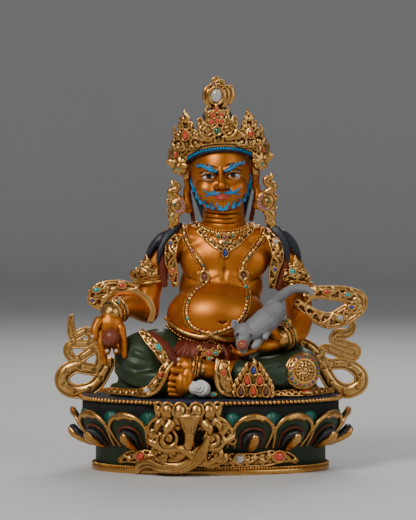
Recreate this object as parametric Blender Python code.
"""A seated Jambhala, cast in copper, gilded and painted, on an oval lotus throne.

Everything is in metres with +Z up. The origin is on the ground under the middle of the throne, and the
figure faces -Y. The throne is set by its own sizes. The figure and what it wears and holds are set by the
figure's height: their places are in parts, of which the figure is PARTS_HIGH tall, measured from the seat.
"""

import math
from functools import partial

import bmesh
import bpy
from mathutils import Matrix, Vector

MM = 0.001

# Clearance between pieces that touch
GAP = 0.3 * MM

# What a cutter adds to the clearance, because its copy is coarse
CUT_MARGIN = 0.35 * MM

# How many times its final number of triangles a piece has before its cuts
BEFORE_CUT = 2.2

# Throne: half width and half depth of its drum, and the height of each band
DRUM_HALF_WIDTH = 71.0 * MM
DRUM_HALF_DEPTH = 41.0 * MM
RIM_HEIGHT = 5.2 * MM
RIM_REACH = 2.2 * MM
DRUM_HEIGHT = 11.0 * MM
PETAL_HEIGHT = 20.5 * MM
PETAL_REACH = 13.0 * MM
PETAL_TONGUE_REACH = 8.2 * MM
PETAL_FOOT_REACH = 1.0 * MM
PETAL_WALL = 2.4 * MM
COLLAR_REACH = 8.2 * MM
COLLAR_HEIGHT = 6.2 * MM
GROOVE_DROP = 2.5 * MM
GROOVE_DEPTH = 2.0 * MM
BACK_PETAL_REACH = 2.6 * MM
BACK_PETAL_RISE = 1.2 * MM
PEARL_RADIUS = 1.5 * MM
PLATE_RISE = 0.5 * MM
PETALS = 16
FOOT_BAY = 6.0 * MM
THRONE_SHARE = 0.58

# Foot lotus in front of the throne
LOTUS_ACROSS = 40.0 * MM
LOTUS_PARTS = 40.0
LOTUS_SIDEWAYS = -13.5 * MM
LOTUS_PETALS = 6
LOTUS_STAND_OFF = 2.5 * MM

# Figure
FIGURE_HEIGHT = 195.0 * MM
PARTS_HIGH = 195.0
CITRON_PLACE = (-60.5, -32.5, 36.2)
CITRON_RADIUS = 5.6
JEWEL_PLACE = (19.2, -44.0, 32.6)
JEWEL_RADIUS = 3.2

# Casting finish: the grain that blends the modelled forms
FIGURE_GRAIN = 1.15 * MM
LOTUS_GRAIN = 0.9 * MM
FINE_GRAIN = 0.7 * MM

# Triangles of each cast piece, and of the coarse copies that cut its neighbours
FIGURE_TRIANGLES = 3100
FOOT_LOTUS_TRIANGLES = 1000
CROWN_TRIANGLES = 950
EARRING_TRIANGLES = 150
RIBBON_TRIANGLES = 360
LOOP_TRIANGLES = 270
PILE_TRIANGLES = 300
CONCH_TRIANGLES = 160
MONGOOSE_TRIANGLES = 380
LARGE_CUTTER_TRIANGLES = 14000
CROWN_CUTTER_TRIANGLES = 3000
MONGOOSE_CUTTER_TRIANGLES = 1500

PART = FIGURE_HEIGHT / PARTS_HIGH
LOTUS_PART = LOTUS_ACROSS / LOTUS_PARTS
PETAL_FOOT = RIM_HEIGHT + DRUM_HEIGHT
PETAL_TOP = PETAL_FOOT + PETAL_HEIGHT
PEARL_HEIGHT = PETAL_TOP + COLLAR_HEIGHT + PEARL_RADIUS
PLATE_TOP = PEARL_HEIGHT + PEARL_RADIUS + PLATE_RISE
SEAT = PLATE_TOP + GAP

GOLD = (0.78, 0.50, 0.17)
SKIN = (0.72, 0.32, 0.07)
DARK_GREEN = (0.05, 0.09, 0.05)
CORAL_RED = (0.75, 0.10, 0.05)
TURQUOISE = (0.0, 0.45, 0.42)
LAPIS = (0.02, 0.03, 0.35)
CRYSTAL = (0.85, 0.85, 0.82)
AMBER = (0.25, 0.07, 0.03)
EMERALD = (0.02, 0.16, 0.07)
CARNELIAN = (0.42, 0.10, 0.04)
GREY_FUR = (0.28, 0.28, 0.27)
SHELL_WHITE = (0.82, 0.80, 0.76)


def clear_scene():
    """Empties the scene that Blender starts with."""
    for thing in list(bpy.data.objects):
        bpy.data.objects.remove(thing)


def at(x, y, z):
    """A point given in parts of the figure, measured from the middle of its seat."""
    return Vector((x * PART, y * PART, SEAT + z * PART))


def parts(*values):
    """Lengths given in parts of the figure, in metres."""
    return [value * PART for value in values]


def material(name, colour, metallic, roughness):
    """A plain finish for one piece."""
    made = bpy.data.materials.new(name)
    made.use_nodes = True
    shader = made.node_tree.nodes["Principled BSDF"]
    shader.inputs["Base Color"].default_value = (*colour, 1.0)
    shader.inputs["Metallic"].default_value = metallic
    shader.inputs["Roughness"].default_value = roughness
    return made


def finished(name, mesh_data, colour, metallic=0.9, roughness=0.35):
    """Links a mesh as one named piece with its finish."""
    piece = bpy.data.objects.new(name, mesh_data)
    bpy.context.collection.objects.link(piece)
    piece.data.materials.append(material(name, colour, metallic, roughness))
    return piece


def to_mesh(name, bm):
    """Turns a bmesh into mesh data with its faces pointing out."""
    bmesh.ops.recalc_face_normals(bm, faces=bm.faces)
    data = bpy.data.meshes.new(name)
    bm.to_mesh(data)
    bm.free()
    return data


def ball(bm, centre, semi, turn=0.0, lean=0.0, segments=20, rings=12):
    """An ellipsoid, turned about Z and leant about X by angles in degrees."""
    place = (
        Matrix.Translation(centre)
        @ Matrix.Rotation(math.radians(turn), 4, "Z")
        @ Matrix.Rotation(math.radians(lean), 4, "X")
        @ Matrix.Diagonal((*semi, 1.0))
    )
    bmesh.ops.create_uvsphere(bm, u_segments=segments, v_segments=rings, radius=1.0, matrix=place)


def smooth_path(points, steps):
    """A Catmull-Rom curve through the points, with a number of steps between neighbours."""
    ends = [2 * points[0] - points[1], *points, 2 * points[-1] - points[-2]]
    path = []
    for i in range(1, len(ends) - 2):
        a, b, c, d = ends[i - 1 : i + 3]
        for k in range(steps):
            t = k / steps
            path.append(
                0.5
                * (
                    2 * b
                    + (c - a) * t
                    + (2 * a - 5 * b + 4 * c - d) * t**2
                    + (3 * b - a - 3 * c + d) * t**3
                )
            )
    return [*path, points[-1].copy()]


def spread(values, count):
    """Values spaced evenly along a path of count points, joined by straight lines."""
    spaced = []
    for i in range(count):
        place = i / (count - 1) * (len(values) - 1)
        k = min(int(place), len(values) - 2)
        spaced.append(values[k] + (values[k + 1] - values[k]) * (place - k))
    return spaced


def section_frames(path, face):
    """The across and outward directions along a path, with outward kept near the face direction."""
    frames = []
    for i in range(len(path)):
        along = (path[min(i + 1, len(path) - 1)] - path[max(i - 1, 0)]).normalized()
        across = along.cross(face)
        if across.length < 1e-6:
            across = along.orthogonal()
        across.normalize()
        frames.append((across, across.cross(along).normalized()))
    return frames


def sweep(bm, path, half_widths, half_depths, face=Vector((0, -1, 0)), sides=10):
    """A closed rod of oval section along a path, with domed ends."""
    rings = []
    frames = section_frames(path, face)
    end_steps = 2
    for i, point in enumerate(path):
        across, out = frames[i]
        rings.append((point, across * half_widths[i], out * half_depths[i]))
    for end, beyond in ((0, -1), (len(path) - 1, 1)):
        neighbour = path[1] if end == 0 else path[-2]
        away = (path[end] - neighbour).normalized()
        reach = min(half_widths[end], half_depths[end])
        across, out = frames[end]
        for k in range(1, end_steps + 1):
            angle = k / (end_steps + 1) * math.pi / 2
            ring = (
                path[end] + away * reach * math.sin(angle),
                across * half_widths[end] * math.cos(angle),
                out * half_depths[end] * math.cos(angle),
            )
            if beyond < 0:
                rings.insert(0, ring)
            else:
                rings.append(ring)
    loops = []
    for point, wide, deep in rings:
        loop = []
        for k in range(sides):
            angle = 2 * math.pi * k / sides
            loop.append(bm.verts.new(point + wide * math.cos(angle) + deep * math.sin(angle)))
        loops.append(loop)
    for first, second in zip(loops, loops[1:]):
        for k in range(sides):
            n = (k + 1) % sides
            bm.faces.new((first[k], first[n], second[n], second[k]))
    bm.faces.new(reversed(loops[0]))
    bm.faces.new(loops[-1])


def limb(bm, points, radii, steps=4, flat=1.0, face=Vector((0, -1, 0)), grow=0.0, sides=10):
    """A rod through points, whose half width runs through radii and whose depth is flat times that."""
    path = smooth_path(points, steps) if len(points) > 2 else [
        points[0].lerp(points[1], k / steps) for k in range(steps + 1)
    ]
    widths = [r + grow for r in spread(radii, len(path))]
    depths = [r * flat + grow for r in spread(radii, len(path))]
    sweep(bm, path, widths, depths, face, sides)


def face_count(piece):
    """The number of triangles of a piece with its modifiers."""
    graph = bpy.context.evaluated_depsgraph_get()
    evaluated = piece.evaluated_get(graph)
    shape = evaluated.to_mesh()
    shape.calc_loop_triangles()
    count = len(shape.loop_triangles)
    evaluated.to_mesh_clear()
    return count


def cast(piece, grain, blend, triangles):
    """Fuses the overlapping forms of a piece into one skin, softens it and thins it."""
    remesh = piece.modifiers.new("fuse", "REMESH")
    remesh.mode = "VOXEL"
    remesh.voxel_size = grain
    if blend:
        soften = piece.modifiers.new("soften", "SMOOTH")
        soften.factor = 0.5
        soften.iterations = blend
    now = face_count(piece)
    thin = piece.modifiers.new("thin", "DECIMATE")
    thin.ratio = min(1.0, triangles / now)
    return piece


def settle(piece):
    """Replaces a piece's mesh by its shape with modifiers, and removes them."""
    graph = bpy.context.evaluated_depsgraph_get()
    shape = bpy.data.meshes.new_from_object(piece.evaluated_get(graph))
    old = piece.data
    piece.modifiers.clear()
    piece.data = shape
    bpy.data.meshes.remove(old)
    return piece


def helper(name, bm):
    """A hidden cutter made from a bmesh."""
    cutter = bpy.data.objects.new(name, to_mesh(name, bm))
    bpy.context.collection.objects.link(cutter)
    cutter.hide_render = True
    cutter.display_type = "WIRE"
    return cutter


def cut(piece, cutter):
    """Cuts a piece by a hidden helper; a swollen copy may cross itself in its creases."""
    boolean = piece.modifiers.new(cutter.name, "BOOLEAN")
    boolean.operation = "DIFFERENCE"
    boolean.solver = "EXACT"
    boolean.use_self = cutter.name.endswith("_clearance")
    boolean.object = cutter


def box(bm, low, high):
    """An axis-aligned box between two corners."""
    size = high - low
    place = Matrix.Translation((low + high) / 2) @ Matrix.Diagonal((*size, 1.0))
    bmesh.ops.create_cube(bm, size=1.0, matrix=place)


# Throne


def oval_point(angle, reach):
    """A point of the throne's oval, moved outwards by reach."""
    point = Vector((DRUM_HALF_WIDTH * math.cos(angle), DRUM_HALF_DEPTH * math.sin(angle), 0.0))
    out = Vector((math.cos(angle) / DRUM_HALF_WIDTH, math.sin(angle) / DRUM_HALF_DEPTH, 0.0))
    return point + out.normalized() * reach


def oval_angles(count, reach):
    """Angles that space points evenly along the throne's oval, the first one at the front."""
    fine = 720
    walked, lengths = 0.0, [0.0]
    for k in range(fine):
        a = oval_point(2 * math.pi * k / fine - math.pi / 2, reach)
        b = oval_point(2 * math.pi * (k + 1) / fine - math.pi / 2, reach)
        walked += (b - a).length
        lengths.append(walked)
    angles = []
    k = 0
    for i in range(count):
        target = walked * i / count
        while lengths[k + 1] < target:
            k += 1
        share = (target - lengths[k]) / (lengths[k + 1] - lengths[k])
        angles.append(2 * math.pi * (k + share) / fine - math.pi / 2)
    return angles


def lofted(bm, rows):
    """A closed form through rows of points that each go once round the throne."""
    columns = len(rows[0])
    loops = [[bm.verts.new(point) for point in row] for row in rows]
    for first, second in zip(loops, loops[1:]):
        for k in range(columns):
            n = (k + 1) % columns
            bm.faces.new((first[k], first[n], second[n], second[k]))
    bm.faces.new(reversed(loops[0]))
    bm.faces.new(loops[-1])


def petal_edge(s):
    """The height of a petal's edge above its foot, across the petal from -1 to 1."""
    return PETAL_HEIGHT * (0.5 + 0.5 * (1 - abs(s) ** 2.4) ** 0.5)


def petal_flare(level):
    """How far a petal's face stands out at a level from 0 to 1."""
    return PETAL_FOOT_REACH + (PETAL_REACH - PETAL_FOOT_REACH) * (1 - (1 - level) ** 1.8)


def tongue_swell(s, level):
    """How far the curled inner tongue of a petal stands out of its face."""
    across = max(0.0, 1 - abs(s / 0.55) ** 3)
    peak, end = 0.52, 0.82
    along = math.sin(level / peak * math.pi / 2) if level < peak else max(0.0, (end - level) / (end - peak))
    return PETAL_TONGUE_REACH * across * along


def throne_profile(s, x, front):
    """Reach and height of the throne's surface from its underside to its top, at one place across a petal."""
    edge = petal_edge(s)
    profile = [
        (RIM_REACH, 0.0),
        (RIM_REACH, RIM_HEIGHT * 0.75),
        (RIM_REACH * 0.4, RIM_HEIGHT),
        (0.0, RIM_HEIGHT * 1.2),
        (0.0, PETAL_FOOT),
    ]
    for share in (0.28, 0.52, 0.78, 1.0):
        level = share * edge / PETAL_HEIGHT
        profile.append((petal_flare(level) + tongue_swell(s, level), PETAL_FOOT + share * edge))
    top = petal_flare(edge / PETAL_HEIGHT)
    between = 1 - (1 - abs(s)) ** 2
    groove = PETAL_FOOT + edge - GROOVE_DROP
    small_petal = BACK_PETAL_REACH * between
    profile += [
        (top - PETAL_WALL, PETAL_FOOT + edge - 0.1 * GROOVE_DROP),
        (COLLAR_REACH - GROOVE_DEPTH * between, groove),
        (COLLAR_REACH + small_petal, 0.35 * groove + 0.65 * PETAL_TOP),
        (COLLAR_REACH + 0.4 * small_petal, PETAL_TOP + 0.5 * BACK_PETAL_RISE),
        (COLLAR_REACH, PETAL_TOP + BACK_PETAL_RISE),
    ]
    bay = FOOT_BAY * max(0.0, 1 - ((x - LOTUS_SIDEWAYS) / (0.62 * LOTUS_ACROSS)) ** 2) if front else 0.0
    profile += [
        (COLLAR_REACH + bay * 0.6, PEARL_HEIGHT - PEARL_RADIUS),
        (COLLAR_REACH + 1.6 * PEARL_RADIUS + bay, PEARL_HEIGHT - 0.5 * PEARL_RADIUS),
        (COLLAR_REACH + 1.6 * PEARL_RADIUS + bay, PEARL_HEIGHT + 0.5 * PEARL_RADIUS),
        (COLLAR_REACH + bay, PLATE_TOP),
    ]
    return profile


def throne(name="lotus_throne"):
    """The oval lotus throne, one casting with a flat underside and a ring of curled petals."""
    across = 6
    angles = oval_angles(PETALS * across, PETAL_REACH * 0.6)
    columns = []
    for k, angle in enumerate(angles):
        s = ((k + across // 2) % across - across // 2) / (across / 2)
        x = oval_point(angle, 0.0).x
        profile = throne_profile(s, x, math.sin(angle) < 0)
        columns.append([oval_point(angle, reach) + Vector((0, 0, z)) for reach, z in profile])
    bm = bmesh.new()
    lofted(bm, [list(row) for row in zip(*columns)])
    piece = finished(name, to_mesh(name, bm), DARK_GREEN, 0.3, 0.5)
    thin = piece.modifiers.new("thin", "DECIMATE")
    thin.ratio = THRONE_SHARE
    return settle(piece)


def grown(source, name, grain, triangles):
    """A hidden copy of a piece, swollen by the clearance, for cutting its neighbours."""
    copy = bpy.data.objects.new(name, source.data.copy())
    bpy.context.collection.objects.link(copy)
    copy.hide_render = True
    copy.display_type = "WIRE"
    remesh = copy.modifiers.new("fuse", "REMESH")
    remesh.mode = "VOXEL"
    remesh.voxel_size = grain
    swell = copy.modifiers.new("swell", "DISPLACE")
    swell.strength = GAP + CUT_MARGIN
    swell.mid_level = 0.0
    now = face_count(copy)
    thin = copy.modifiers.new("thin", "DECIMATE")
    thin.ratio = min(1.0, triangles / now)
    return settle(copy)


def largest_body(piece):
    """Drops crumbs that a cut leaves behind, and keeps the largest closed body."""
    bm = bmesh.new()
    bm.from_mesh(piece.data)
    bmesh.ops.remove_doubles(bm, verts=bm.verts, dist=1e-7)
    left = set(bm.verts)
    bodies = []
    while left:
        found, edge = set(), [left.pop()]
        while edge:
            vert = edge.pop()
            found.add(vert)
            for link in vert.link_edges:
                other = link.other_vert(vert)
                if other in left:
                    left.discard(other)
                    edge.append(other)
        bodies.append(found)
    bodies.sort(key=len)
    for crumbs in bodies[:-1]:
        bmesh.ops.delete(bm, geom=list(crumbs), context="VERTS")
    bmesh.ops.triangulate(bm, faces=bm.faces)
    bm.to_mesh(piece.data)
    bm.free()
    return piece


def fitted(piece, *cutters, triangles=None):
    """Cuts a piece clear of its neighbours, keeps it whole and thins it to a number of triangles."""
    for cutter in cutters:
        cut(piece, cutter)
    largest_body(settle(piece))
    if triangles:
        now = face_count(piece)
        thin = piece.modifiers.new("thin", "DECIMATE")
        thin.ratio = min(1.0, triangles / now)
        settle(piece)
    return piece


def plate_clearance():
    """A cutter that keeps what stands on the throne clear of its top plate."""
    reach = COLLAR_REACH + 1.6 * PEARL_RADIUS + GAP
    angles = oval_angles(48, 0.0)
    low, high = SEAT - 0.2 * PETAL_HEIGHT, SEAT
    bm = bmesh.new()
    lofted(bm, [[oval_point(a, reach) + Vector((0, 0, z)) for a in angles] for z in (low, high)])
    front = Vector((LOTUS_SIDEWAYS, -DRUM_HALF_DEPTH - COLLAR_REACH, 0))
    half = Vector((0.62 * LOTUS_ACROSS, 1.3 * FOOT_BAY, 0))
    box(bm, front - half + Vector((0, 0, low)), front + half + Vector((0, 0, high)))
    return helper("plate_cutter", bm)


# Foot lotus


def foot_lotus(throne_cutter):
    """The gold lotus and leafy scrolls that stand in front of the throne."""
    bm = bmesh.new()
    half = LOTUS_ACROSS / 2
    side = LOTUS_SIDEWAYS
    face = -DRUM_HALF_DEPTH - PETAL_REACH - LOTUS_STAND_OFF
    top = PEARL_HEIGHT + GAP
    petal_foot = top - 11.0 * LOTUS_PART
    for k in range(LOTUS_PETALS):
        turn = (k + 0.5) / LOTUS_PETALS * 2 - 1
        angle = turn * math.radians(78)
        centre = Vector((side + half * 0.86 * math.sin(angle), face - 6.0 * LOTUS_PART * math.cos(angle), 0))
        low = centre * 1.0 + Vector((-0.28 * half * math.sin(angle), 0, petal_foot))
        high = centre + Vector((0, 0, top - 3.6 * LOTUS_PART))
        limb(bm, [low, high], [3.0 * LOTUS_PART, 3.9 * LOTUS_PART], 3, 0.62, sides=10)
    cup = Vector((side, face, 0))
    limb(
        bm,
        [cup + Vector((0.8 * LOTUS_PART, 0, z)) for z in (0.32 * top, 0.5 * top, 0.66 * top, 0.8 * top)],
        [3.4 * LOTUS_PART, 4.0 * LOTUS_PART, 5.6 * LOTUS_PART, 9.6 * LOTUS_PART],
        3,
        0.8,
    )
    heart = cup + Vector((0, 1.5 * LOTUS_PART, petal_foot + 2 * LOTUS_PART))
    ball(bm, heart, (0.86 * half, 5.0 * LOTUS_PART, 4.2 * LOTUS_PART))
    drum_face = -DRUM_HALF_DEPTH
    stalks = (
        ((-30.5, 8.5, 1.6), (-24, 7.5, 6.5), (-10, 0.5, 5.5), (1, -5.5, 13), (6, -12.5, 22)),
        ((1.0, -3, 8), (3.5, -9, 15), (8, -14, 24), (15, -15, 30), (24, -12, 28)),
        ((0.0, -3, 9), (-1.5, -9, 16), (-6, -14, 24), (-12, -15, 29), (-19, -12, 25)),
        ((4.0, -3.5, 6), (12, -4.5, 10), (19, -4.5, 13), (23, -4, 10)),
    )
    root = Vector((side, drum_face, 0))
    for stalk in stalks:
        points = [root + Vector(place) * LOTUS_PART for place in stalk]
        limb(bm, points, [value * LOTUS_PART for value in (2.1, 2.8, 2.6, 2.0)], 4, 0.8, sides=8)
    coils = ((-12.5, -16, 22, 5.6), (14.5, -16, 22.5, 5.0), (27.5, -12, 27, 3.2), (11, -10, 11.5, 3.6))
    for x, y, z, radius in coils:
        centre = root + Vector((x, y, z)) * LOTUS_PART
        turns = []
        for k in range(1, 9):
            angle = k * math.pi / 4
            reach = radius * (0.25 + 0.09 * k) * LOTUS_PART
            turns.append(centre + Vector((math.cos(angle), 0, math.sin(angle))) * reach)
        limb(bm, turns, [0.3 * radius * LOTUS_PART], 2, 0.9, sides=8)
        eye = 0.75 * radius * LOTUS_PART
        ball(bm, centre, (eye, 1.4 * LOTUS_PART, eye), segments=10, rings=8)
    low = Vector((side + LOTUS_PART, drum_face - 6 * LOTUS_PART, 13 * LOTUS_PART))
    high = Vector((side + LOTUS_PART, face + 2 * LOTUS_PART, 22 * LOTUS_PART))
    limb(bm, [low, high], [5.5 * LOTUS_PART, 5.0 * LOTUS_PART], 3)
    piece = finished("foot_lotus", to_mesh("foot_lotus", bm), GOLD)
    settle(cast(piece, LOTUS_GRAIN, 2, FOOT_LOTUS_TRIANGLES * BEFORE_CUT))
    return fitted(piece, throne_cutter, triangles=FOOT_LOTUS_TRIANGLES)


# Figure


TORSO = (
    ((2, 8, 24), (33, 23, 22)),
    ((4, -2, 47), (29.5, 26, 22)),
    ((6, 6, 64), (23, 17.5, 18)),
    ((8, 8, 80), (25, 16.5, 20)),
    ((-5, 1.2, 80), (14, 7.6, 10.5)),
    ((22, 1.2, 80), (14, 7.6, 10.5)),
    ((8.5, 9, 92), (26, 12.5, 12)),
)


def front(x, z):
    """The depth of the front of the torso at a place seen from the front."""
    nearest = TORSO[0][0][1]
    for (cx, cy, cz), (sx, sy, sz) in TORSO:
        inside = 1 - ((x - cx) / sx) ** 2 - ((z - cz) / sz) ** 2
        if inside > 0:
            nearest = min(nearest, cy - sy * inside**0.5)
    return nearest


def worn(points, lift=0.0):
    """Points on the front of the torso from places seen from the front."""
    return [at(x, front(x, z) - lift, z) for x, z in points]


def rod(bm, points, radii, flat=1.0, steps=3, sides=9):
    """A limb given in parts of the figure."""
    limb(bm, [at(*p) for p in points], parts(*radii), steps, flat, sides=sides)


def blob(bm, centre, semi, turn=0.0, lean=0.0):
    """A ball given in parts of the figure."""
    ball(bm, at(*centre), parts(*semi), turn, lean, 16, 10)


def body_forms(bm):
    """Torso, neck, head, arms, hands, shins and feet."""
    for centre, semi in TORSO:
        blob(bm, centre, semi)
    rod(bm, ((-25, 9, 91), (8, 9, 95), (41, 9, 90)), (10.5, 11, 10.5))
    rod(bm, ((8.5, 9, 94), (8, 8, 114)), (14, 12.5))
    blob(bm, (7, 7, 137), (19.2, 20.5, 24))
    blob(bm, (7.2, 0, 121), (15.5, 15.5, 12))
    blob(bm, (7.2, -12.5, 128.5), (3.4, 5.4, 6.0))
    blob(bm, (7.2, -12.4, 118.0), (5.6, 3.6, 2.6))
    blob(bm, (7.2, -9.5, 113), (7.0, 5.4, 4.4))
    for side in (-1, 1):
        blob(bm, (7.2 + side * 20.5, 9, 127), (2.4, 4.2, 7))
        rod(bm, ((7.2 + side * 21.5, 10, 124), (7.2 + side * 20.5, 9, 113)), (2.2, 1.9))
    rod(bm, ((-25, 9, 91), (-34, 8, 77), (-39, 6, 60), (-39, 4, 50)), (10.5, 9.2, 8.2, 7.8))
    rod(bm, ((-39, 4, 50), (-50, -9, 54), (-60, -20, 50)), (7.8, 7.4, 6.0))
    blob(bm, (-61.5, -24, 43.5), (8.5, 6, 8))
    fingers = ((-69, -27, 45, -69.5, 33), (-66, -28, 39, -64.5, 20.5), (-55.5, -27, 40, -52.5, 24))
    for x, y, z, tip_x, tip_z in fingers:
        knuckle = ((x + tip_x) / 2 - 0.5, y - 2, (z + tip_z) / 2)
        rod(bm, ((x, y, z), knuckle, (tip_x, y - 1, tip_z)), (2.9, 2.6, 2.1))
    for x in (-62.5, -57.5):
        rod(bm, ((x, -25, 36), (x, -28, 28.5), (x, -33, 28)), (2.6, 2.4, 2.1))
    rod(bm, ((41, 9, 90), (48.5, 8, 77), (54, 6, 58), (55, 2, 44)), (10.5, 9.4, 8.6, 8.2))
    rod(bm, ((55, 2, 44), (52.5, -11, 39), (42, -22, 35)), (8.2, 7.6, 5.8))
    blob(bm, (31, -27, 32.5), (11.5, 7.5, 4.6), lean=10)
    for k in range(4):
        rod(bm, ((25, -23 - 3.6 * k, 31 - 0.6 * k), (14 + k, -25 - 3.4 * k, 27)), (2.4, 1.9))
    rod(bm, ((39, -29, 37), (36, -32, 41), (31, -33, 41)), (3.0, 2.7, 2.1))
    rod(bm, ((26, -24, 15), (5, -32, 15.5), (-9, -34, 18.5)), (8.5, 6.2, 5.2), 0.85)
    blob(bm, (-13, -34, 18.5), (6.5, 5.5, 5.0))
    for k in range(3):
        blob(bm, (-18.5, -34 - 1.6 * k, 21.5 - 2.4 * k), (3.2, 2.0, 1.7))
    blob(bm, (-18, -36, 8.5), (6.0, 7.0, 8.2))
    for z, radius in ((16.2, 2.5), (12, 2.4), (8.2, 2.2), (4.9, 2.0), (2.2, 1.7)):
        blob(bm, (-23.5, -38.5, z), (3.4, 3.0, radius))


def cloth_forms(bm):
    """The legs in their cloth, with its hems, and the cloth that lies on the seat."""
    blob(bm, (-2, 12, 14), (34, 24, 14))
    rod(bm, ((-12, 6, 18), (-30, -6, 22), (-41, -14, 20)), (17, 18.5, 17.5))
    blob(bm, (-41, -14, 19.5), (18, 18, 19.5))
    rod(bm, ((-44, -20, 12), (-34, -30, 9), (-26, -34, 8.5)), (10.5, 8.5, 6.5))
    rod(bm, ((16, 4, 17), (38, -4, 18), (52.5, -10, 16)), (15, 15, 14.5))
    blob(bm, (52.5, -12, 15.2), (14.5, 17, 14.6))
    rod(bm, ((52, -20, 14), (34, -27, 14), (14, -30, 13.5)), (11.5, 10.5, 9.5))
    rod(bm, ((-64, -20, 2), (-46, -30, 2), (-28, -37, 2.4)), (4.2, 4.4, 3.0), 0.5)
    rod(bm, ((36, -26, 1.8), (54, -27, 1.8), (70, -16, 1.8)), (4.0, 5.0, 3.0), 0.5)
    rod(bm, ((-16, -38, 1.6), (0, -40, 1.6), (14, -38, 1.6)), (3.0, 3.4, 3.0), 0.5)
    blob(bm, (-4, -12, 22), (26, 14, 13))
    rod(bm, ((-39, -27, 37), (-33, -31, 29), (-26, -33, 20)), (2.6, 2.8, 2.6), 0.5)
    rod(bm, ((-25, -38, 19), (-30, -38, 12), (-36, -38, 4)), (2.6, 2.8, 2.4), 0.5)
    rod(bm, ((9.5, -34, 23.5), (8.5, -39, 13), (9.5, -38, 4)), (4.2, 4.6, 4.2), 0.45)
    blob(bm, (56.5, -26, 15.6), (10.4, 5.4, 11.0), turn=14)


def hair_forms(bm):
    """The hair under the crown, its knot, and the locks that fall over the shoulders."""
    blob(bm, (6.8, 9, 146), (19.4, 19, 18))
    rod(bm, ((6, 10, 158), (6, 9, 170), (6, 8, 180)), (11, 8, 4.5))
    for lock in (
        ((-21, 1, 101), (-29, -1, 93), (-33, -2, 79)),
        ((-27, 0, 95), (-34, 0, 90), (-39.5, 2, 84)),
        ((39, 1, 101), (44, -1, 92), (47.5, -2, 80)),
        ((43, 0, 95), (49, 0, 91), (54, 2, 86)),
    ):
        rod(bm, lock, (2.8, 2.4, 1.2), 0.8)
    for strap in (
        ((-17.6, 9, 137), (-15.5, 8, 124), (-11, 5, 106)),
        ((33.4, 9, 138), (30.5, 8, 124), (25, 5, 106)),
    ):
        rod(bm, strap, (2.2, 2.1, 2.0), 0.6)


def ornament_forms(bm):
    """Belt, necklaces, armlets, bracelets, anklet and the figured shoulder pieces."""
    belt = ((-27, 44), (-14, 37), (-1, 33.5), (13, 33), (30, 40))
    limb(bm, worn(belt, 1.0), parts(2.2), 3, sides=9)
    collar = ((-10, 104), (-3, 100), (9, 97.5), (21, 100), (29, 105))
    limb(bm, worn(collar, 0.6), parts(1.9), 3, 0.8)
    limb(bm, worn(((1, 96), (9, 91), (17, 96)), 0.5), parts(2.6), 3, 0.7)
    blob(bm, (-3.2, front(-3.2, 72) - 0.6, 71), (3, 2, 4.4))
    blob(bm, (20, front(20, 72) - 0.6, 72), (3, 2, 4))
    for x, z in ((-23.5, 88), (-22, 76), (41, 90), (39.5, 77)):
        blob(bm, (x, 0, z), (5.0, 3.4, 7.5))
    for top_x, low_x in ((-30.5, -27.5), (46.5, 41.5)):
        rod(bm, ((top_x, -0.5, 88), (low_x, -2.5, 66)), (3.4, 3.0), 0.7)
    for x, z, peak_x, peak_z, lean in ((-37, 68.5, -40.5, 76, -9), (53, 66.5, 52, 76, 12)):
        ring(bm, (x, 7, z), 10.2, 1.8, lean)
        ring(bm, (x, 7, z + 3.4), 10.4, 1.6, lean)
        blob(bm, (peak_x, -0.8, peak_z - 1), (7.5, 3.2, 6.5))
        rod(bm, ((peak_x - 1, -1.5, peak_z), (peak_x, -1.5, peak_z + 7)), (3.2, 1.4), 0.7)
    band_between(bm, (-60, -20, 50.5), (-55, -14.5, 52.5), 7.2, 1.4)
    band_between(bm, (44, -20, 35.5), (48, -16.5, 37), 7.2, 1.4)
    band_between(bm, (-10.5, -34, 18.5), (-7, -34, 18), 6.2, 1.2)
    blob(bm, (-58, -22, 58), (2.6, 2.4, 2.6))
    blob(bm, (47, -23, 43.5), (3.0, 2.4, 2.6))


def ring(bm, centre, radius, thick, lean=0.0):
    """A ring around an upright limb, leaning sideways."""
    middle = at(*centre)
    tilt = Matrix.Rotation(math.radians(lean), 3, "Y")
    count = 20
    path = []
    for k in range(count + 1):
        angle = 2 * math.pi * k / count
        path.append(middle + tilt @ Vector((math.cos(angle), math.sin(angle), 0)) * radius * PART)
    widths = parts(*[thick] * len(path))
    sweep(bm, path, widths, widths, face=Vector((0, 0, 1)), sides=7)


def band_between(bm, first, second, radius, thick):
    """Two rings and the cuff between them around a limb that runs from one point to the other."""
    a, b = at(*first), at(*second)
    limb(bm, [a, b], parts(radius, radius + 0.2), 2)
    turn = (b - a).to_track_quat("Z", "Y").to_matrix()
    for end in (a, b):
        path = []
        for k in range(17):
            angle = 2 * math.pi * k / 16
            path.append(end + turn @ Vector((math.cos(angle), math.sin(angle), 0)) * radius * PART)
        widths = parts(*[thick] * len(path))
        sweep(bm, path, widths, widths, face=(b - a).normalized(), sides=7)


def figure():
    """The seated figure, one hollow casting with its cloth, hair and chased ornaments."""
    bm = bmesh.new()
    body_forms(bm)
    cloth_forms(bm)
    hair_forms(bm)
    ornament_forms(bm)
    piece = finished("figure", to_mesh("figure", bm), SKIN, 0.7, 0.4)
    return settle(cast(piece, FIGURE_GRAIN, 2, FIGURE_TRIANGLES))


# Crown, earrings, scarf and ribbons


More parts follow.
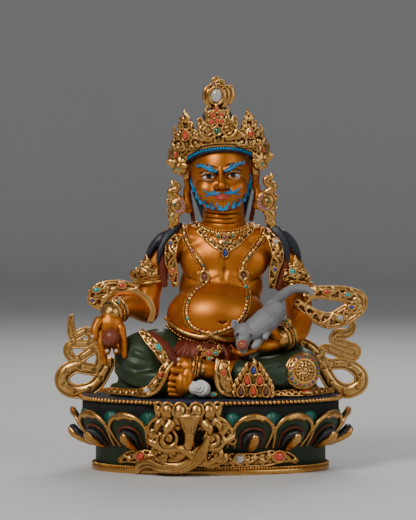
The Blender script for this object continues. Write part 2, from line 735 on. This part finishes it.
def crown_leaf(bm, x, y, foot, tip, half, lean=0.0):
    """One leaf of the crown: a scrolled body that narrows to a flame."""
    rise = tip - foot
    blob(bm, (x, y, foot + 0.34 * rise), (half * 0.92, 2.2, 0.36 * rise), turn=lean)
    flame = ((x, y, foot + 0.5 * rise), (x + 0.8, y, foot + 0.8 * rise), (x - 0.4, y, tip - 1))
    rod(bm, flame, (0.42 * half, 2.3, 1.1))
    for side in (-1, 1):
        blob(bm, (x + side * half * 0.72, y, foot + 0.24 * rise), (0.34 * half, 2.0, 0.16 * rise), turn=lean)
        blob(bm, (x + side * half * 0.5, y, foot + 0.66 * rise), (0.24 * half, 1.8, 0.12 * rise), turn=lean)


def crown_forms(bm):
    """The band, the five leaves, and the rosettes over the ears."""
    middle = (7, 7)
    count = 28
    for radius, drop, thick in ((21.8, 0.0, 2.6), (22.6, 4.6, 2.0)):
        path = []
        for k in range(count + 1):
            angle = 2 * math.pi * k / count - math.pi / 2
            rise = 11.5 * max(0.0, -math.sin(angle)) ** 0.8
            place = (middle[0] + (radius - 2) * math.cos(angle), middle[1] + radius * math.sin(angle))
            path.append(at(*place, 142.2 + rise + drop))
        widths = parts(*[thick] * len(path))
        sweep(bm, path, widths, widths, face=Vector((0, 0, 1)), sides=8)
    crown_leaf(bm, 4, -14.5, 155, 177, 11.5)
    blob(bm, (4, -14, 182.5), (7.6, 2.4, 8))
    rod(bm, ((6, -14, 188), (0.5, -13, 190.5), (2.2, -12, 194)), (3.0, 2.0, 1.2))
    blob(bm, (11, -13.5, 181), (2.6, 2.2, 4.2))
    crown_leaf(bm, -15.5, -9, 152, 173.5, 8.5, -38)
    crown_leaf(bm, 24, -9, 153, 174.5, 8.5, 38)
    crown_leaf(bm, -21.5, 3, 142, 160, 6.5, -72)
    crown_leaf(bm, 34.2, 3, 146, 164, 6.5, 72)
    for side, x, z in ((-1, -17.5, 138), (1, 33.5, 140)):
        blob(bm, (x, 3, z), (6, 2.6, 6))
        rod(bm, ((x + side * 3, 3, z + 1), (x + side * 7.5, 3, z + 3)), (2.4, 1.2))


def earring_forms(bm, x=0, z=0, side=1):
    """A round earring with a curl of ribbon above it and a tail below."""
    blob(bm, (x, -1, z), (6.0, 2.6, 6.0))
    curl = ((0, 4), (4.6, 7), (0.5, 10.5), (4, 15))
    rod(bm, [(x + side * out, -1, z + up) for out, up in curl], (2.6, 2.4, 2.0, 1.0))
    rod(bm, ((x, -1, z - 4), (x + side * 3.4, -1, z - 9), (x + side * 2.0, -1, z - 14)), (3.0, 2.4, 1.2))


def seen(points, depth):
    """Points given sideways and up, at one depth."""
    return [at(x, depth, z) for x, z in points]


RIBBON_WIDTHS = (1.4, 3.4, 3.2, 3.2, 3.3, 3.4, 3.6, 3.8, 4.5, 4.5, 4.2, 3.9, 3.4)
SCARF_WIDTHS = (2.6, 3.2, 3.8, 4.6, 4.6, 3.6, 2.8, 2.2)
SCARF_EDGE_WIDTHS = (1.6, 1.7, 1.6)
RIBBON_DEPTH = 4.0
RIBBON_HALF_THICKNESS = 1.7
SCARF_DEPTH = -4.5
SCARF_HALF_THICKNESS = 1.5
RIBBON_LEFT = (
    (-86, 48), (-86.2, 40), (-84.5, 34.5), (-77, 37.8), (-72.8, 34), (-76, 30), (-86, 29.6), (-88.2, 24.5),
    (-83, 20.2), (-77, 23.6), (-70.5, 27.2), (-67.6, 22), (-69.6, 14.4), (-76, 14.6), (-84, 16), (-91, 11),
    (-91, 4.6), (-85, 0.8), (-76, 1.6), (-69.6, 6), (-64, 15), (-61.6, 21),
)
RIBBON_RIGHT = (
    (87, 46), (88, 41), (85, 36.5), (78, 36.2), (76, 31.8), (84, 29.4), (90.2, 26.4), (88, 21.8),
    (79, 24.6), (70.6, 27.2), (67.8, 21.6), (73, 17.6), (84, 17.4), (92, 12), (92.4, 4.8), (85, 0.8),
    (77, 3.4), (71.4, 11), (67, 21), (61.6, 27.4), (54, 31.4),
)
LOOP_LEFT = ((-45, 63.6), (-55, 65.0), (-65, 63.4), (-71, 60.4), (-70.4, 57.0), (-66.6, 54.4), (-63, 52.6))
RING_LEFT = ((-66, 54.6), (-62.6, 59.6), (-55, 63), (-46.5, 62.6), (-39, 58), (-35.6, 51), (-37, 44.6))
LOOP_RIGHT = (
    (58, 59), (63.5, 62), (73, 62), (84, 60.6), (91, 57.4), (89, 52.6), (82, 48), (75, 45),
    (68, 46), (60, 50.6), (52, 56.4),
)


def ribbon(name, points, cutters):
    """A flat cast ribbon that runs through points."""
    bm = bmesh.new()
    path = smooth_path(seen(points, RIBBON_DEPTH), 5)
    widths = parts(*spread(RIBBON_WIDTHS, len(path)))
    sweep(bm, path, widths, parts(*[RIBBON_HALF_THICKNESS] * len(path)), sides=8)
    piece = finished(name, to_mesh(name, bm), GOLD)
    settle(cast(piece, FINE_GRAIN, 1, RIBBON_TRIANGLES * BEFORE_CUT))
    return fitted(piece, *cutters, triangles=RIBBON_TRIANGLES)


def scarf_loop(name, strands, cutters):
    """The looped end of the scarf beside an arm."""
    bm = bmesh.new()
    for k, strand in enumerate(strands):
        path = smooth_path(seen(strand, SCARF_DEPTH), 4)
        wide = SCARF_WIDTHS if k == 0 else SCARF_EDGE_WIDTHS
        deep = [SCARF_HALF_THICKNESS] * len(path)
        sweep(bm, path, parts(*spread(wide, len(path))), parts(*deep), sides=8)
    piece = finished(name, to_mesh(name, bm), GOLD)
    settle(cast(piece, FINE_GRAIN, 1, LOOP_TRIANGLES * BEFORE_CUT))
    return fitted(piece, *cutters, triangles=LOOP_TRIANGLES)


# Attributes and stones


def pile_forms(bm):
    """The flame-edged heap of jewels in front of the seat."""
    for row, count in enumerate((3, 2, 1)):
        for k in range(count):
            x = 25.8 + (k - (count - 1) / 2) * 7.6
            blob(bm, (x, -43, 5 + 6.4 * row), (4.4, 4.0, 5.4))
    for side in (-1, 1):
        flame = ((9, 2), (10, 7), (6.5, 13))
        rod(bm, [(25.8 + side * out, -42.5, up) for out, up in flame], (2.6, 2.4, 1.6))
        rod(bm, ((25.8 + side * 6, -42, 12), (25.8 + side * 4, -42, 18)), (2.6, 1.5))
    rod(bm, ((25.8, -42, 17), (25.8, -42, 24)), (4.2, 1.3))
    blob(bm, (25.8, -41.5, 4), (11, 3.4, 4.4))


def conch_forms(bm):
    """A spiral shell lying with its point to the front."""
    rod(bm, ((1, -41, 7.8), (-6, -42, 7.5), (-12.5, -43, 9)), (3.0, 5.9, 1.6))
    blob(bm, (-6.5, -44, 6.6), (6.4, 5.0, 5.6), turn=-20)
    blob(bm, (-9.5, -47.5, 5.4), (3.6, 3.0, 3.4))
    blob(bm, (-10, -50, 4.8), (1.8, 1.8, 1.8))


def mongoose_forms(bm):
    """A mongoose on the left hand, its head to the front and its tail over the arm."""
    rod(bm, ((38, -26, 50), (32, -31, 45), (25, -35, 40)), (7.6, 8.0, 7.0))
    blob(bm, (20, -36, 39), (6.6, 7.0, 6.6))
    rod(bm, ((20, -38, 36), (18, -41, 31)), (5.0, 3.6))
    for x in (14.5, 26):
        blob(bm, (x, -36, 44), (2.2, 1.8, 2.6))
    blob(bm, (28, -36, 34.5), (2.6, 2.4, 3.0))
    tail = ((37, -24, 55), (43, -14, 60), (51, -8, 64.5), (59, -5, 64), (64, -4, 61))
    rod(bm, tail, (3.6, 3.2, 2.9, 2.7, 2.0))


def forms_of(name, build, colour, triangles, metallic=0.9, roughness=0.35, cutters=()):
    """A piece cast from a function's forms and cut clear of its neighbours."""
    bm = bmesh.new()
    build(bm)
    piece = finished(name, to_mesh(name, bm), colour, metallic, roughness)
    settle(cast(piece, FINE_GRAIN, 1, triangles * BEFORE_CUT))
    return fitted(piece, *cutters, triangles=triangles)


STONES = (
    ("crown_crystal", CRYSTAL, (4, -16.6, 182.8), (3.6, 1.8, 4.2), "crown"),
    ("crown_emerald", EMERALD, (3.8, -17.6, 162), (2.0, 1.3, 2.0), "crown"),
    ("crown_coral_top", CORAL_RED, (3.3, -17.0, 173), (1.6, 1.3, 1.8), "crown"),
    ("crown_coral_left", CORAL_RED, (1.0, -17.4, 169), (1.5, 1.3, 1.7), "crown"),
    ("crown_coral_right", CORAL_RED, (6.2, -17.4, 169), (1.5, 1.3, 1.7), "crown"),
    ("leaf_coral_left", CORAL_RED, (-15.8, -12.0, 159.5), (2.0, 1.6, 2.4), "crown"),
    ("leaf_coral_right", CORAL_RED, (24.2, -12.0, 160.5), (2.0, 1.6, 2.4), "crown"),
    ("pendant_lapis", LAPIS, (9, -8.4, 88), (2.2, 1.6, 2.8), "figure"),
    ("pile_lapis", LAPIS, (25.8, -47.0, 18), (2.2, 1.3, 2.8), "jewel_pile"),
    ("pile_coral_left", CORAL_RED, (22, -47.0, 11.6), (2.3, 1.4, 3.0), "jewel_pile"),
    ("pile_coral_right", CORAL_RED, (29.6, -47.0, 11.6), (2.3, 1.4, 3.0), "jewel_pile"),
    ("pile_coral_low", CORAL_RED, (25.8, -47.0, 5), (2.2, 1.4, 3.0), "jewel_pile"),
    ("pile_amber_left", AMBER, (18.2, -47.0, 5), (2.2, 1.4, 3.0), "jewel_pile"),
    ("pile_amber_right", AMBER, (33.4, -47.0, 5), (2.2, 1.4, 3.0), "jewel_pile"),
    ("scarf_turquoise_left", TURQUOISE, (-70, -2.2, 64.2), (2.4, 1.3, 1.5), "scarf_loop_left"),
    ("scarf_coral_left", CORAL_RED, (-54.5, -2.4, 66.8), (2.3, 1.3, 1.4), "scarf_loop_left"),
    ("scarf_coral_right", CORAL_RED, (71.4, -2.4, 62.6), (2.3, 1.3, 1.4), "scarf_loop_right"),
    ("scarf_turquoise_right", TURQUOISE, (84, -2.2, 60.8), (2.0, 1.3, 1.4), "scarf_loop_right"),
    ("scarf_crystal_right", CRYSTAL, (79.6, -2.4, 46.6), (2.2, 1.3, 1.8), "scarf_loop_right"),
    ("hem_turquoise", TURQUOISE, (-31.6, -34.2, 30.6), (1.6, 1.5, 2.8), "figure"),
    ("hem_coral", CORAL_RED, (-29.8, -40.4, 14), (1.5, 1.4, 2.2), "figure"),
    ("ankle_coral", CORAL_RED, (8.2, -41.4, 15.5), (1.5, 1.4, 2.4), "figure"),
    ("belt_coral", CORAL_RED, (-1, -29.6, 27.6), (2.1, 1.7, 2.2), "figure"),
    ("shoulder_lapis", LAPIS, (-25.4, -4.0, 89), (1.5, 1.4, 2.4), "figure"),
    ("shoulder_coral", CORAL_RED, (-22.8, -3.8, 75.4), (1.8, 1.4, 2.2), "figure"),
    ("shoulder_crystal", CRYSTAL, (42, -4.0, 92), (2.0, 1.4, 2.4), "figure"),
    ("armlet_turquoise", TURQUOISE, (50.4, -4.6, 75), (2.0, 1.5, 2.0), "figure"),
)


def cabochon(bm, centre, semi, clearance=0.0):
    """A low domed stone, grown by a clearance when it is the cutter of its pocket."""
    grown_semi = [value + clearance for value in parts(*semi)]
    ball(bm, at(*centre), grown_semi, segments=8, rings=3)


def set_stones(holders):
    """Cuts pockets into the pieces that hold stones, and sets the stones in them."""
    for holder, piece in holders.items():
        pockets = bmesh.new()
        for name, colour, centre, semi, place in STONES:
            if place != holder:
                continue
            cabochon(pockets, centre, semi, GAP)
            bm = bmesh.new()
            cabochon(bm, centre, semi)
            finished(name, to_mesh(name, bm), colour, 0.0, 0.15)
        fitted(piece, helper(holder + "_pockets", pockets))


def main():
    """Builds every piece."""
    clear_scene()
    seat_plate = throne()
    lotus_skin = grown(seat_plate, "throne_clearance", FINE_GRAIN, LARGE_CUTTER_TRIANGLES)
    foot_lotus(lotus_skin)
    plate = plate_clearance()
    statue = figure()
    citron = bmesh.new()
    ball(citron, at(*CITRON_PLACE), parts(*[CITRON_RADIUS] * 3), segments=10, rings=6)
    finished("citron", to_mesh("citron", citron), AMBER, 0.0, 0.3)
    palm = bmesh.new()
    ball(palm, at(*CITRON_PLACE), [CITRON_RADIUS * PART + GAP] * 3, segments=10, rings=6)
    fitted(statue, plate, helper("palm", palm))
    skin = grown(statue, "figure_clearance", FINE_GRAIN, LARGE_CUTTER_TRIANGLES)
    crown = forms_of("crown", crown_forms, GOLD, CROWN_TRIANGLES, cutters=(skin,))
    crown_skin = grown(crown, "crown_clearance", FINE_GRAIN, CROWN_CUTTER_TRIANGLES)
    for name, x, z, side in (("earring_left", -20, 115, -1), ("earring_right", 36.5, 118, 1)):
        forms = partial(earring_forms, x=x, z=z, side=side)
        forms_of(name, forms, GOLD, EARRING_TRIANGLES, cutters=(skin, crown_skin))
    ribbon("ribbon_left", RIBBON_LEFT, (skin, plate, lotus_skin))
    ribbon("ribbon_right", RIBBON_RIGHT, (skin, plate, lotus_skin))
    pile = forms_of("jewel_pile", pile_forms, GOLD, PILE_TRIANGLES, cutters=(skin, plate))
    forms_of("conch", conch_forms, SHELL_WHITE, CONCH_TRIANGLES, 0.0, 0.4, (skin, plate))
    mongoose = forms_of("mongoose", mongoose_forms, GREY_FUR, MONGOOSE_TRIANGLES, 0.0, 0.5, (skin,))
    fur = grown(mongoose, "mongoose_clearance", FINE_GRAIN, MONGOOSE_CUTTER_TRIANGLES)
    loops = {
        "scarf_loop_left": scarf_loop("scarf_loop_left", (LOOP_LEFT, RING_LEFT), (skin,)),
        "scarf_loop_right": scarf_loop("scarf_loop_right", (LOOP_RIGHT,), (skin, fur)),
    }
    jewel = bmesh.new()
    ball(jewel, at(*JEWEL_PLACE), parts(*[JEWEL_RADIUS] * 3), segments=8, rings=5)
    finished("mongoose_jewel", to_mesh("mongoose_jewel", jewel), CARNELIAN, 0.0, 0.2)
    mouth = bmesh.new()
    ball(mouth, at(*JEWEL_PLACE), [JEWEL_RADIUS * PART + GAP] * 3, segments=8, rings=5)
    fitted(mongoose, helper("mouth", mouth))
    set_stones({"crown": crown, "figure": statue, "jewel_pile": pile, **loops})


main()
